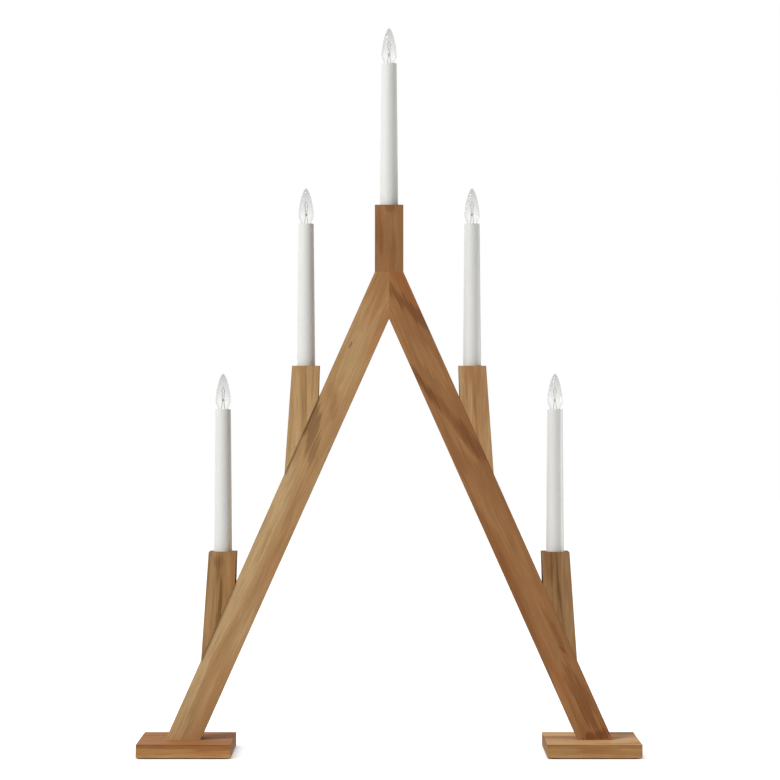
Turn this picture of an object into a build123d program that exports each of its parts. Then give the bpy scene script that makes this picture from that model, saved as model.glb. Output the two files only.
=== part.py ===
from build123d import *
import os
from math import cos, radians, sin, tan

# Electric candle arch: two leaning wooden legs, a top post and four side posts on the legs,
# two block feet, and five candle tubes with small screw bulbs.
# Frame: origin on the floor midway between the feet, +X to the viewer's right, +Z up,
# front towards -Y. Lengths are in millimetres and angles in degrees.

# Wooden frame
leg_angle = 24.1  # lean of a leg from the vertical
leg_width = 28.0  # across the front, square to the leg
leg_depth = 26.0
candle_pitch = 73.0  # between the axes of neighbouring candles
lower_stand = 111.6  # leg's outer face above the foot, on the lowest candle's axis
post_width = 25.0  # top post
side_post_width = 24.0  # at its top, where a side post is narrowest
post_depth = 28.0  # side posts stand a little proud of the legs; the top post is flush with them
top_post_height = 58.8
post_rise = 53.0  # top of a side post above the leg's outer face, on its candle's axis
post_outer_lean = 4.0
post_inner_lean = 2.0
foot_width = 82.0
foot_depth = 100.0
foot_thickness = 11.5
foot_overhang = 23.0  # foot beyond the leg's outer corner
edge_radius = 0.2  # eased long edges
end_chamfer = 0.12  # broken edges of sawn ends
felt_thickness = 1.0
felt_inset = 4.0
felt_corner = 3.0

# Joinery
dowel_diameter = 5.0
dowel_length = 18.0
dowel_chamfer = 0.6
side_dowel_spacing = 15.0  # front to back, in a side post
seat_dowel_spacing = 16.0  # left to right, under the top post
mitre_dowel_inset = 5.0  # from the front of the legs
screw_diameter = 4.0
screw_head_diameter = 8.0
screw_length = 38.0
screw_tip = 5.0
screw_sink = 0.4  # head below the foot's underside
screw_spacing = 14.0
recess_width = 0.9  # cross recess of a screw head
recess_length = 4.2
recess_depth = 1.6

# Wiring
lead_diameter = 1.3
lead_spacing = 1.6
lead_run = 14.0  # lead along the groove, past the candle's axis
lead_bend = 0.45  # share of that run that the bend takes up
lead_seat = 2.0  # lead held in the lamp holder
cable_thickness = 2.2
cable_height = 4.4
splice_length = 8.0
groove_width = 3.2
groove_end_room = 5.0
wire_bore = 7.0
clip_length = 10.0
clip_recess = 2.0  # clip below the back of the leg
clips_per_leg = 3
gland_gap = 18.0  # from the last splice to the gland's axis
gland_bore = 6.2
gland_wall = 1.4
flange_rim = 2.0
flange_thickness = 1.5

# Candle tube
tube_length = 125.0  # above the post
tube_wall = 0.8  # at the rim
tube_taper = 2.5  # base wider than the rim
rim_radius = 0.35
spigot_diameter = 11.5
spigot_wall = 1.25
spigot_length = 14.0

# Lamp holder and its contacts, from the lamp cap outwards
cap_diameter = 9.4
thread_clearance = 0.2
shell_wall = 0.4
holder_wall = 0.55
holder_recess = 2.2  # top of the holder below the tube's rim
holder_floor = 4.0
chamber_step = 0.8
tongue_width = 3.0
tongue_thickness = 0.3
tongue_height = 2.2
tongue_foot = 1.6
tongue_rise = 1.4
contact_gap = 0.15

# Bulb
cap_length = 9.5
cap_recess = 1.2  # top of the cap below the tube's rim
cap_wall = 0.35
insulator_height = 1.0
contact_diameter = 4.0
contact_height = 0.8
contact_stub = 2.4
glass_diameter = 13.5
glass_height = 31.0  # tip above the tube's rim
belly_height = 7.5  # widest place above the tube's rim
glass_wall = 0.5
neck_length = 4.0  # glass inside the cap
tip_roundness = 0.5  # reach of the blunt tip, as a share of the radius
shoulder_rise = 0.3  # how long the belly stays upright, as a share of the flame's height
seal_thickness = 1.0
mount_wire = 0.45
mount_foot_spread = 4.4
mount_waist_spread = 1.2
mount_head_spread = 2.2
mount_bend = 4.0
bead_height = 8.0  # glass bead above the tube's rim
bead_diameter = 2.6
bead_length = 2.0
filament_height = 16.5  # tops of the mount wires above the tube's rim
filament_rise = 3.0
filament_bend = 0.5
filament_wire = 0.25

# Clearances
fit = 0.05  # a piece in its seat
free = 0.2  # a piece that lies loose
bore_margin = 0.5  # drilled past the end of what goes in
cut_margin = 1.0  # a cutting tool past the face that it opens

# Places that follow from the sizes
lean = radians(leg_angle)
foot_top = felt_thickness + foot_thickness
lowest_axis = 2 * candle_pitch
seat_height = foot_top + lower_stand + (lowest_axis - post_width / 2) / tan(lean)
outer_peak = seat_height + post_width / 2 / tan(lean)
leg_centre_peak = outer_peak - leg_width / 2 / sin(lean)
inner_peak = outer_peak - leg_width / sin(lean)
leg_span = leg_width / cos(lean)
down_leg = Vector(sin(lean), 0, -cos(lean))
out_of_leg = Vector(cos(lean), 0, sin(lean))

lead_reach = lead_spacing / 2 + lead_diameter / 2
groove_floor = -lead_reach - free
cable_front = lead_reach + free
cable_back = cable_front + cable_height
leg_back = leg_depth / 2

cap_radius = cap_diameter / 2
shell_inner = cap_radius + thread_clearance
shell_outer = shell_inner + shell_wall
holder_inner = shell_outer + fit
holder_outer = holder_inner + holder_wall
socket_radius = holder_outer + fit
rim_outer = socket_radius + tube_wall
base_outer = rim_outer + tube_taper / 2
tube_bore = spigot_diameter / 2 - spigot_wall
cap_bottom = -cap_recess - cap_length
insulator_bottom = cap_bottom - insulator_height
contact_bottom = insulator_bottom - fit - contact_height
holder_floor_top = contact_bottom - contact_gap - tongue_height
holder_bottom = holder_floor_top - holder_floor
neck_radius = cap_radius - cap_wall - fit
neck_bottom = -cap_recess - neck_length


def leg_outer_x(z):
    return (outer_peak - z) * tan(lean)


def leg_outer_z(x):
    return outer_peak - x / tan(lean)


def leg_centre_z(x):
    return leg_centre_peak - x / tan(lean)


def turned(points):
    # a round piece from its half section, given as (radius, height) points
    return revolve(Plane.XZ * Polygon(*points, align=None), Axis.Z)


def upright(x, y, low, high, radius):
    # a vertical round rod
    rod = Cylinder(radius, high - low, align=(Align.CENTER, Align.CENTER, Align.MIN))
    return Pos(x, y, low) * rod


def block(low, high):
    # a square block from its two corners
    size = [b - a for a, b in zip(low, high)]
    centre = [(a + b) / 2 for a, b in zip(low, high)]
    return Pos(*centre) * Box(*size)


def mirrored(piece):
    return mirror(piece, about=Plane.YZ)


def on_side(piece, side):
    # pieces are drawn on the right and mirrored to the left
    return piece if side == "right" else mirrored(piece)


def stick(outline, depth, along):
    # a sawn stick: its outline from the front, with its long edges eased
    body = extrude(Plane.XZ * Polygon(*outline, align=None), amount=depth / 2, both=True)
    long_edges = ShapeList()
    for direction in along:
        long_edges += body.edges().filter_by(Axis((0, 0, 0), direction))
    return fillet(long_edges, edge_radius)


def broken_top(body):
    return chamfer(body.faces().sort_by(Axis.Z)[-1].edges(), end_chamfer)


# Dowels, and the holes drilled for them
def dowel():
    pin = Cylinder(dowel_diameter / 2, dowel_length)
    return chamfer(pin.edges(), dowel_chamfer)


def dowel_hole():
    return Cylinder(dowel_diameter / 2 + fit, dowel_length + 2 * bore_margin)


def side_dowel_places(axis_x):
    places = []
    for y in (-side_dowel_spacing / 2, side_dowel_spacing / 2):
        places.append(Plane((axis_x, y, leg_outer_z(axis_x)), z_dir=out_of_leg).location)
    return places


def seat_dowel_places():
    return [Pos(x, 0, seat_height) for x in (-seat_dowel_spacing / 2, seat_dowel_spacing / 2)]


def mitre_dowel_place():
    height = (inner_peak + seat_height) / 2
    return Plane((0, mitre_dowel_inset - leg_depth / 2, height), z_dir=(1, 0, 0)).location


# Foot screws, driven up through the foot into the leg
screw_bottom = felt_thickness + screw_sink
screw_top = screw_bottom + screw_length
screw_x = leg_outer_x((foot_top + screw_top) / 2) - leg_span / 2
screw_places = [Pos(screw_x, y, screw_bottom) for y in (-screw_spacing / 2, screw_spacing / 2)]


def foot_screw():
    head = screw_head_diameter / 2
    shank = screw_diameter / 2
    shank_end = screw_length - screw_tip
    body = turned([(0, 0), (head, 0), (shank, head - shank), (shank, shank_end), (0, screw_length)])
    for turn in (0, 90):
        body -= Rot(0, 0, turn) * block(
            (-recess_length / 2, -recess_width / 2, -cut_margin),
            (recess_length / 2, recess_width / 2, recess_depth),
        )
    return body


def screw_hole():
    head = screw_head_diameter / 2 + fit
    shank = screw_diameter / 2 + fit
    low = -screw_sink - cut_margin
    high = screw_length + bore_margin
    return turned([(0, low), (head, low), (head, 0), (shank, head - shank), (shank, high), (0, high)])


# Grooves in the backs of the legs, with the cable, its clips and the splices in them.
# Drawn in the right leg's own frame: X down the leg from the mitre, Y out of the leg, Z to the front.
leg_frame = Plane((0, 0, leg_centre_peak), x_dir=down_leg, z_dir=(0, -1, 0)).location
port_runs = [candle_pitch / sin(lean), lowest_axis / sin(lean)]
last_splice_end = port_runs[-1] + lead_run + splice_length
groove_end = {"left": last_splice_end + groove_end_room, "right": last_splice_end + gland_gap}


def in_groove(start, end, width, front, back):
    return block((start, -width / 2, -back), (end, width / 2, -front))


def groove(side):
    start = -leg_width
    trench = in_groove(start, groove_end[side], groove_width, groove_floor, leg_back + cut_margin)
    depth = leg_back + cut_margin - groove_floor
    round_end = Cylinder(groove_width / 2, depth, align=(Align.CENTER, Align.CENTER, Align.MIN))
    return leg_frame * (trench + Pos(groove_end[side], 0, -leg_back - cut_margin) * round_end)


def leg_cable(side):
    section = Rot(0, 0, 90) * SlotOverall(cable_height, cable_thickness)
    centre = Plane((-leg_width, 0, -(cable_front + cable_back) / 2), x_dir=(0, 1, 0), z_dir=(1, 0, 0))
    length = leg_width + groove_end[side]
    run = leg_frame * extrude(centre * section, amount=length)
    past_mitre = block((-leg_span, -leg_depth, 0), (0, leg_depth, outer_peak))
    return on_side(run - past_mitre, side)


def cable_clip(run):
    width = groove_width - 2 * fit
    return leg_frame * in_groove(run, run + clip_length, width, cable_back + fit, leg_back - clip_recess)


def cable_clips():
    clips = []
    for side in ("left", "right"):
        step = groove_end[side] / (clips_per_leg + 1)
        for n in range(clips_per_leg):
            clips.append(on_side(cable_clip(step * (n + 1)), side))
    return clips


# Cord gland, at the lower end of the right leg's groove
gland_run = groove_end["right"]
gland_x = gland_run * sin(lean)
gland_z = leg_centre_z(gland_x)
gland_radius = gland_bore / 2 + gland_wall
gland_inner_end = cable_back + free


def along_back(start, end, radius):
    rod = Cylinder(radius, end - start, align=(Align.CENTER, Align.CENTER, Align.MIN))
    return Plane((gland_x, start, gland_z), z_dir=(0, 1, 0)).location * rod


def cord_gland():
    body = along_back(gland_inner_end, leg_back + flange_thickness, gland_radius)
    flange = along_back(leg_back, leg_back + flange_thickness, gland_radius + flange_rim)
    outer_edge = flange.edges().sort_by(Axis.Y)[-1:]
    flange = fillet(outer_edge, flange_thickness / 2)
    bore = along_back(gland_inner_end - cut_margin, leg_back + flange_thickness + cut_margin, gland_bore / 2)
    return body + flange - bore


def gland_pocket():
    return along_back(groove_floor, leg_back + cut_margin, gland_radius + fit)


# Legs
def leg(side):
    foot_outer = leg_outer_x(foot_top)
    outline = [
        (0, inner_peak),
        (foot_outer - leg_span, foot_top),
        (foot_outer, foot_top),
        (post_width / 2, seat_height),
        (0, seat_height),
    ]
    body = stick(outline, leg_depth, [down_leg])
    body -= groove(side)
    for axis_x in (candle_pitch, lowest_axis):
        body -= upright(axis_x, 0, leg_centre_z(axis_x) - wire_bore / 2, outer_peak, wire_bore / 2)
        for place in side_dowel_places(axis_x):
            body -= place * dowel_hole()
    body -= upright(0, 0, leg_centre_peak - splice_length / 2 - bore_margin, outer_peak, wire_bore / 2)
    for place in seat_dowel_places():
        body -= place * dowel_hole()
    body -= mitre_dowel_place() * dowel_hole()
    for place in screw_places:
        body -= place * screw_hole()
    if side == "right":
        body -= gland_pocket()
    return on_side(body, side)


# Posts
def candle_bores(axis_x, top, low):
    socket = upright(axis_x, 0, top - spigot_length - bore_margin, top + cut_margin, spigot_diameter / 2 + fit)
    return socket + upright(axis_x, 0, low, top, wire_bore / 2)


def top_post():
    top = seat_height + top_post_height
    half = post_width / 2
    outline = [(-half, seat_height), (half, seat_height), (half, top), (-half, top)]
    body = broken_top(stick(outline, leg_depth, [(0, 0, 1)]))
    body -= candle_bores(0, top, seat_height - cut_margin)
    for place in seat_dowel_places():
        body -= place * dowel_hole()
    return body


def foot_of_edge(top_x, top_z, edge_lean):
    # where a leaning edge of a side post meets the leg's outer face
    drop = (leg_outer_z(top_x) - top_z) / (tan(radians(edge_lean)) / tan(lean) - 1)
    return top_x + drop * tan(radians(edge_lean)), top_z - drop


def side_post(side, axis_x):
    top = leg_outer_z(axis_x) + post_rise
    inner_top = (axis_x - side_post_width / 2, top)
    outer_top = (axis_x + side_post_width / 2, top)
    inner_foot = foot_of_edge(*inner_top, post_inner_lean)
    outer_foot = foot_of_edge(*outer_top, post_outer_lean)
    leans = [(sin(radians(a)), 0, -cos(radians(a))) for a in (post_inner_lean, post_outer_lean)]
    body = broken_top(stick([inner_foot, outer_foot, outer_top, inner_top], post_depth, leans))
    body -= candle_bores(axis_x, top, outer_foot[1] - cut_margin)
    for place in side_dowel_places(axis_x):
        body -= place * dowel_hole()
    return on_side(body, side)


# Feet and the felt under them
foot_centre = leg_outer_x(foot_top) + foot_overhang - foot_width / 2


def foot(side):
    half = foot_width / 2
    outline = [(-half, felt_thickness), (half, felt_thickness), (half, foot_top), (-half, foot_top)]
    body = Pos(foot_centre, 0, 0) * broken_top(stick(outline, foot_depth, [(0, 0, 1)]))
    for place in screw_places:
        body -= place * screw_hole()
    return on_side(body, side)


def felt_pad(side):
    half_width = foot_width / 2 - felt_inset
    half_depth = foot_depth / 2 - felt_inset
    sheet = block((-half_width, -half_depth, 0), (half_width, half_depth, felt_thickness))
    sheet = fillet(sheet.edges().filter_by(Axis.Z), felt_corner)
    return on_side(Pos(foot_centre, 0, 0) * sheet, side)


# Leads from each lamp holder down to the cable, and the splices at their lower ends
def candle_leads(side, axis_x, rim):
    wires = []
    start = rim + holder_bottom + lead_seat - fit
    for y in (-lead_spacing / 2, lead_spacing / 2):
        if axis_x == 0:
            end = leg_centre_peak + splice_length / 2
            wire = upright(0, y, end, start, lead_diameter / 2)
        else:
            corner = Vector(axis_x, y, leg_centre_z(axis_x))
            bend = lead_bend * lead_run / tan(lean / 2)
            route = FilletPolyline((axis_x, y, start), corner, corner + down_leg * lead_run, radius=bend)
            section = Plane((axis_x, y, start), z_dir=(0, 0, -1)) * Circle(lead_diameter / 2)
            wire = sweep(section, path=route)
        wires.append(on_side(wire, side))
    return wires


def lead_splice(side, axis_x):
    width = groove_width - 2 * free
    if axis_x == 0:
        half = splice_length / 2
        return block(
            (-width / 2, -lead_reach, leg_centre_peak - half),
            (width / 2, cable_front - fit, leg_centre_peak + half),
        )
    start = axis_x / sin(lean) + lead_run
    sleeve = leg_frame * in_groove(start, start + splice_length, width, -lead_reach, cable_front - fit)
    return on_side(sleeve, side)


# Candle: tube, lamp holder, socket shell and spring tongue. Heights are from the tube's rim.
def candle_tube():
    base = -tube_length
    spigot_end = base - spigot_length
    spigot = spigot_diameter / 2
    body = turned([
        (tube_bore, spigot_end),
        (spigot, spigot_end),
        (spigot, base),
        (base_outer, base),
        (rim_outer, 0),
        (socket_radius, 0),
        (socket_radius, holder_bottom),
        (tube_bore, holder_bottom),
    ])
    rim_edges = body.faces().sort_by(Axis.Z)[-1].edges()
    return fillet(rim_edges, rim_radius)


def lamp_holder():
    chamber = holder_inner - chamber_step
    body = turned([
        (0, holder_bottom),
        (holder_outer, holder_bottom),
        (holder_outer, -holder_recess),
        (holder_inner, -holder_recess),
        (holder_inner, cap_bottom),
        (chamber, cap_bottom),
        (chamber, holder_floor_top),
        (0, holder_floor_top),
    ])
    for y in (-lead_spacing / 2, lead_spacing / 2):
        body -= upright(0, y, holder_bottom - cut_margin, holder_bottom + lead_seat, lead_diameter / 2 + fit)
    return body


def socket_shell():
    lip = -holder_recess + shell_wall
    return turned([
        (shell_inner, cap_bottom),
        (shell_outer, cap_bottom),
        (shell_outer, -holder_recess),
        (holder_outer, -holder_recess),
        (holder_outer, lip),
        (shell_inner, lip),
    ])


def socket_tongue():
    # a strip bent up from its foot on the holder's floor, under the lamp's contact
    low = holder_floor_top
    high = holder_floor_top + tongue_height - tongue_thickness
    reach = holder_inner - chamber_step - fit - tongue_thickness
    foot_end = tongue_foot - reach
    under = [(-reach, low), (foot_end, low), (foot_end + tongue_rise, high), (reach / 2, high)]
    over = [(x, z + tongue_thickness) for x, z in reversed(under)]
    strip = Plane.XZ * Polygon(*under, *over, align=None)
    return extrude(strip, amount=tongue_width / 2, both=True)


# Bulb: flame-shaped glass, brass cap with its insulator, contact and filament mount.
# Heights are from the tube's rim.
def flame_outline(belly, tip, neck):
    # from the neck's lower end up to the tip, on the axis
    shoulder = belly_height + shoulder_rise * (tip - belly_height)
    lower = Bezier(
        (neck, -cap_recess),
        (neck, belly_height / 4),
        (belly, belly_height / 2),
        (belly, belly_height),
    )
    upper = Bezier((belly, belly_height), (belly, shoulder), (tip_roundness * belly, tip), (0, tip))
    return [Line((neck, neck_bottom), (neck, -cap_recess)), lower, upper]


def bulb_glass():
    neck_inner = neck_radius - glass_wall
    inner_tip = glass_height - glass_wall
    outer = flame_outline(glass_diameter / 2, glass_height, neck_radius)
    inner = flame_outline(glass_diameter / 2 - glass_wall, inner_tip, neck_inner)
    ends = [
        Line((neck_inner, neck_bottom), (neck_radius, neck_bottom)),
        Line((0, inner_tip), (0, glass_height)),
    ]
    return revolve(Plane.XZ * make_face(outer + inner + ends), Axis.Z)


def bulb_cap():
    inner = cap_radius - cap_wall
    brass = turned([
        (inner, cap_bottom),
        (cap_radius, cap_bottom),
        (cap_radius, -cap_recess),
        (inner, -cap_recess),
    ])
    stub = contact_diameter / 4 + fit
    insulator = turned([
        (stub, insulator_bottom),
        (contact_diameter / 2 + cap_wall, insulator_bottom),
        (inner - fit, cap_bottom),
        (inner - fit, cap_bottom + insulator_height),
        (stub, cap_bottom + insulator_height),
    ])
    return [brass, insulator]


def bulb_contact():
    top = insulator_bottom - fit
    radius = contact_diameter / 2
    button = turned([(0, contact_bottom), (radius, contact_bottom), (radius, top), (0, top)])
    button = fillet(button.edges().sort_by(Axis.Z)[0], contact_height / 2)
    return button + upright(0, 0, top - contact_height / 2, top + contact_stub, radius / 2)


def filament_mount():
    # two wires stand on the glass seal, run upright through a bead and carry the filament
    seal_top = neck_bottom + seal_thickness
    seal = upright(0, 0, neck_bottom, seal_top, neck_radius - glass_wall - fit)
    bead = Pos(0, 0, bead_height) * Cylinder(bead_diameter / 2, bead_length)
    bead = fillet(bead.edges(), bead_length / 4)
    half_waist = bead_length / 2 + mount_wire
    wires = []
    for way in (-1, 1):
        waist_x = way * mount_waist_spread / 2
        start = Vector(way * mount_foot_spread / 2, 0, seal_top + fit)
        below = Vector(waist_x, 0, bead_height - half_waist)
        above = Vector(waist_x, 0, bead_height + half_waist)
        head = Vector(way * mount_head_spread / 2, 0, filament_height)
        route = FilletPolyline(start, below, above, head, radius=mount_bend)
        wires.append(sweep(Plane(start, z_dir=below - start) * Circle(mount_wire / 2), path=route))
        bead -= upright(waist_x, 0, bead_height - half_waist, bead_height + half_waist, mount_wire / 2 + fit)
    half = mount_head_spread / 2
    foot_z = filament_height + mount_wire
    arch = FilletPolyline(
        (-half, 0, foot_z),
        (0, 0, foot_z + filament_rise),
        (half, 0, foot_z),
        radius=filament_bend,
    )
    coil = sweep(Plane(arch @ 0, z_dir=arch % 0) * Circle(filament_wire / 2), path=arch)
    return [seal, *wires, bead, coil]


# Candle places: name, side, axis and the height of the tube's rim
candles = [
    ("top", "right", 0, seat_height + top_post_height + tube_length),
]
for side in ("left", "right"):
    for level, axis in (("upper", candle_pitch), ("lower", lowest_axis)):
        rim = leg_outer_z(axis) + post_rise + tube_length
        candles.append((side + "_" + level, side, axis, rim))

nodes = {
    "left_leg": leg("left"),
    "right_leg": leg("right"),
    "top_post": top_post(),
    "left_foot": foot("left"),
    "right_foot": foot("right"),
    "felt_pads": [felt_pad("left"), felt_pad("right")],
    "foot_screws": [],
    "post_dowels": [],
    "apex_dowels": [place * dowel() for place in seat_dowel_places() + [mitre_dowel_place()]],
    "left_leg_cable": leg_cable("left"),
    "right_leg_cable": leg_cable("right"),
    "cable_clips": cable_clips(),
    "candle_leads": [],
    "lead_splices": [],
    "cord_gland": cord_gland(),
}
for side in ("left", "right"):
    nodes["foot_screws"] += [on_side(place * foot_screw(), side) for place in screw_places]

candle_pieces = {
    "candle_tube": candle_tube(),
    "lamp_holder": lamp_holder(),
    "socket_shell": socket_shell(),
    "socket_tongue": socket_tongue(),
    "bulb_glass": bulb_glass(),
    "bulb_cap": bulb_cap(),
    "bulb_contact": bulb_contact(),
    "filament_mount": filament_mount(),
}
for name, side, axis, rim in candles:
    if axis > 0:
        nodes[name + "_post"] = side_post(side, axis)
        nodes["post_dowels"] += [on_side(place * dowel(), side) for place in side_dowel_places(axis)]
    nodes["candle_leads"] += candle_leads(side, axis, rim)
    nodes["lead_splices"].append(lead_splice(side, axis))
    place = Pos(axis if side == "right" else -axis, 0, rim)
    for piece, shape in candle_pieces.items():
        solids = shape if isinstance(shape, list) else [shape]
        nodes[name + "_" + piece] = [place * solid for solid in solids]

os.makedirs("parts", exist_ok=True)
for name, shape in nodes.items():
    solids = shape if isinstance(shape, list) else [shape]
    whole = []
    for solid in solids:
        whole += solid.solids()
    export_step(Compound(children=whole), "parts/" + name + ".step")
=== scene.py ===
import math
import bmesh
import bpy
from mathutils import Matrix, Vector, noise


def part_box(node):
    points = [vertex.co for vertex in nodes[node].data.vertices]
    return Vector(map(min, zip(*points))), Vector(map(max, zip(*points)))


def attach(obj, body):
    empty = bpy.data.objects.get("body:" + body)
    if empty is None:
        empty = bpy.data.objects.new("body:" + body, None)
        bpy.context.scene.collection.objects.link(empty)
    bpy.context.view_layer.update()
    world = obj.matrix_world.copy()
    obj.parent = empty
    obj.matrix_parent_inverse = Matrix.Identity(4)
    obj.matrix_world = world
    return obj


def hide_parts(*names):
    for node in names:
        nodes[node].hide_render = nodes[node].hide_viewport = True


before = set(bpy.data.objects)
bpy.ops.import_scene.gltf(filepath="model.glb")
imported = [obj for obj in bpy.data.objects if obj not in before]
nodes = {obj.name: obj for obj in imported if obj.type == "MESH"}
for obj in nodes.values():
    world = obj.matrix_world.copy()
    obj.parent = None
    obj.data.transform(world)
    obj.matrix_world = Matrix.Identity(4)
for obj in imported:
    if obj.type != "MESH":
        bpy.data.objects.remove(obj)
scene = bpy.context.scene
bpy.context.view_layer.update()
mm = 0.001
candleNames = ("top", "left_upper", "left_lower", "right_upper", "right_lower")
print("frame loaded,", len(nodes), "nodes")


def toLinear(hexColour):
    parts = [int(hexColour[i:i + 2], 16) / 255 for i in (1, 3, 5)]
    return (*[p / 12.92 if p <= 0.04045 else ((p + 0.055) / 1.055) ** 2.4 for p in parts], 1)


# adds a node, sets it up and links it: an input is either a value or another node's socket
def addNode(tree, kind, inputs=None, **settings):
    made = tree.nodes.new(kind)
    for name, value in settings.items():
        setattr(made, name, value)
    for socket, value in (inputs or {}).items():
        if isinstance(value, bpy.types.NodeSocket):
            tree.links.new(value, made.inputs[socket])
        else:
            made.inputs[socket].default_value = value
    return made


def newMaterial(name, constants):
    made = bpy.data.materials.new(name)
    made.use_nodes = True
    shader = made.node_tree.nodes["Principled BSDF"]
    for socket, value in constants.items():
        shader.inputs[socket].default_value = value
    return made, made.node_tree, shader


def objectPlace(tree):
    return addNode(tree, "ShaderNodeTexCoord").outputs["Object"]


# Camera, level with the middle of the arch
cameraSetup = {
    "place": (0.0008, -2.68, 0.319),
    "turn": (90, 0, 0),
    "lens": 140.56,
    "sensor": 36,
}
cameraData = bpy.data.cameras.new("camera")
cameraData.lens = cameraSetup["lens"]
cameraData.sensor_width = cameraSetup["sensor"]
camera = bpy.data.objects.new("camera", cameraData)
camera.location = cameraSetup["place"]
camera.rotation_euler = [math.radians(a) for a in cameraSetup["turn"]]
scene.collection.objects.link(camera)
scene.camera = camera
scene.view_settings.view_transform = "Standard"

# Studio: a soft key from the left, a weak lamp from the right, an even white surround
studio = {
    "keyPlace": (-3.07, -2.4, 3.35),
    "keySize": 1.4,
    "keyPower": 186,
    "sidePlace": (0.9, 0.1, 0.25),
    "sideSize": 0.35,
    "sidePower": 2.3,
    "aim": (0, 0, 0.3),
    "surroundLight": 0.275,  # what it gives to surfaces; to the eye it is white
    "floorLift": 0.76,  # added for the eye, so that the lit paper reads as white
    "floorHalf": 6.0,
    "contactReach": 0.008,  # how far the painted contact shade under the feet reaches
    "paperGrit": 20,
}


def addLamp(name, place, size, power):
    data = bpy.data.lights.new(name, "AREA")
    data.shape = "DISK"
    data.size = size
    data.energy = power
    lamp = bpy.data.objects.new(name, data)
    lamp.location = place
    lamp.visible_camera = False
    lamp.rotation_euler = (Vector(studio["aim"]) - Vector(place)).to_track_quat("-Z", "Y").to_euler()
    scene.collection.objects.link(lamp)


addLamp("key lamp", studio["keyPlace"], studio["keySize"], studio["keyPower"])
addLamp("side lamp", studio["sidePlace"], studio["sideSize"], studio["sidePower"])


# 1 for rays from the camera, a reflection or through glass, else 0
def seenRay(tree):
    path = addNode(tree, "ShaderNodeLightPath")
    either = addNode(tree, "ShaderNodeMath", {
        0: path.outputs["Is Camera Ray"], 1: path.outputs["Is Glossy Ray"]}, operation="MAXIMUM")
    return addNode(tree, "ShaderNodeMath", {0: either.outputs[0], 1: path.outputs["Is Transmission Ray"]},
                   operation="MAXIMUM").outputs[0]


world = bpy.data.worlds.new("white surround")
world.use_nodes = True
scene.world = world
surround = world.node_tree.nodes["Background"]
surround.inputs["Color"].default_value = (1, 1, 1, 1)
level = addNode(world.node_tree, "ShaderNodeMapRange",
                {"Value": seenRay(world.node_tree), "To Min": studio["surroundLight"], "To Max": 1.0})
world.node_tree.links.new(level.outputs[0], surround.inputs["Strength"])

# White paper sweep: lit like any surface, lifted to white for the eye, so that only the shadow shows; under
# the feet the lift fades, a painted contact shade
paper, tree, shader = newMaterial("white paper sweep", {"Roughness": 0.95, "Specular IOR Level": 0.1})
grit = addNode(tree, "ShaderNodeTexNoise", {
    "Vector": objectPlace(tree), "Scale": 1 / (studio["paperGrit"] * mm), "Detail": 2.0})
shade = addNode(tree, "ShaderNodeMix", {
    0: grit.outputs[0], 6: toLinear("#EAEAE8"), 7: toLinear("#F0F0EE")}, data_type="RGBA")
tree.links.new(shade.outputs[2], shader.inputs["Base Color"])
shader.inputs["Emission Color"].default_value = (1, 1, 1, 1)
# painted contact shade: the lift fades where the floor is hemmed in under the feet
under = addNode(tree, "ShaderNodeAmbientOcclusion", {"Distance": studio["contactReach"]})
lift = addNode(tree, "ShaderNodeMath", {0: seenRay(tree), 1: studio["floorLift"]}, operation="MULTIPLY")
lift = addNode(tree, "ShaderNodeMath", {0: lift.outputs[0], 1: under.outputs["AO"]}, operation="MULTIPLY")
tree.links.new(lift.outputs[0], shader.inputs["Emission Strength"])
path = addNode(tree, "ShaderNodeLightPath")
mirrored = addNode(tree, "ShaderNodeMath", {
    0: path.outputs["Is Glossy Ray"], 1: path.outputs["Is Transmission Ray"]}, operation="MAXIMUM")
plainWhite = addNode(tree, "ShaderNodeEmission", {"Color": (1, 1, 1, 1), "Strength": 1.0})
either = addNode(tree, "ShaderNodeMixShader", {
    0: mirrored.outputs[0], 1: shader.outputs[0], 2: plainWhite.outputs[0]})
tree.links.new(either.outputs[0], tree.nodes["Material Output"].inputs["Surface"])
floorMesh = bpy.data.meshes.new("floor")
half = studio["floorHalf"]
corners = [(-half, -half, 0), (half, -half, 0), (half, half, 0), (-half, half, 0)]
floorMesh.from_pydata(corners, [], [(0, 1, 2, 3)])
floorMesh.materials.append(paper)
floor = bpy.data.objects.new("floor", floorMesh)
scene.collection.objects.link(floor)
print("studio ready")
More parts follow.
